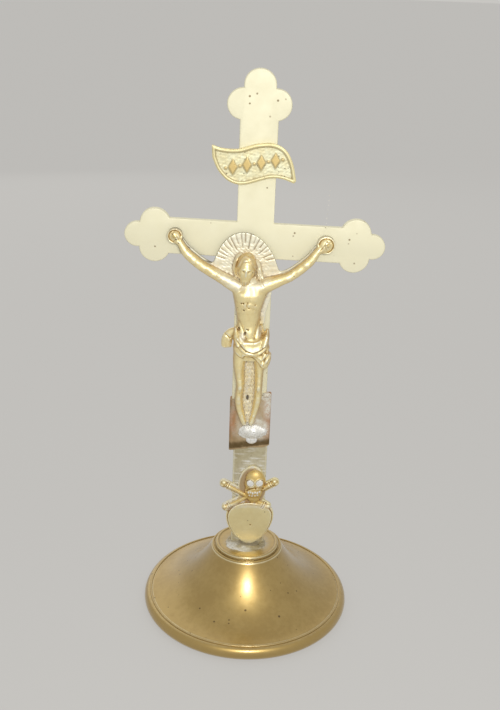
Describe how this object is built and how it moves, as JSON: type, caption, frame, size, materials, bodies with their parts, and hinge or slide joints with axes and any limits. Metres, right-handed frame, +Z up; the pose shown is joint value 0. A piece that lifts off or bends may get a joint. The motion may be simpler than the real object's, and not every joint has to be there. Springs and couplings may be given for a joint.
{
  "type": "standing brass cross",
  "caption": "Flat cast cross with trefoil ends, riveted figure, scroll and skull plaque, spliced by a sheet sleeve to a stem on a turned trumpet foot.",
  "frame": {"origin": "middle of the foot's rest plane, at z = 0", "axes": "+Z up the cross, -Y the way that the figure faces, +X to the viewer's right"},
  "size_m": [0.0877, 0.078, 0.1996],
  "materials": {
    "foot_brass": "satin turned, tarnished, with a soft shine",
    "cross_brass": "pale cast, filed flat, finely pitted",
    "figure_brass": "polished cast, darker in the recesses",
    "sleeve_brass": "dull rolled sheet, brownish",
    "rivet_brass": "peened, worn",
    "inner_brass": "dull, unpolished",
    "solder": "grey soft solder, lumpy and dull"
  },
  "bodies": {
    "root": {"base_bell": "foot_brass", "crown_disc": "foot_brass", "stem": "cross_brass", "cross_plate": "cross_brass", "titulus_scroll": "cross_brass", "skull_plaque": "cross_brass", "corpus": "figure_brass", "splice_sleeve": "sleeve_brass", "hand_rivet_left": "rivet_brass", "hand_rivet_right": "rivet_brass", "titulus_rivet": "rivet_brass", "plaque_rivet": "rivet_brass", "foot_rivet": "rivet_brass", "tang_washer": "inner_brass", "tang_nut": "inner_brass", "crown_solder": "solder", "foot_solder": "solder"}
  },
  "joints": []
}
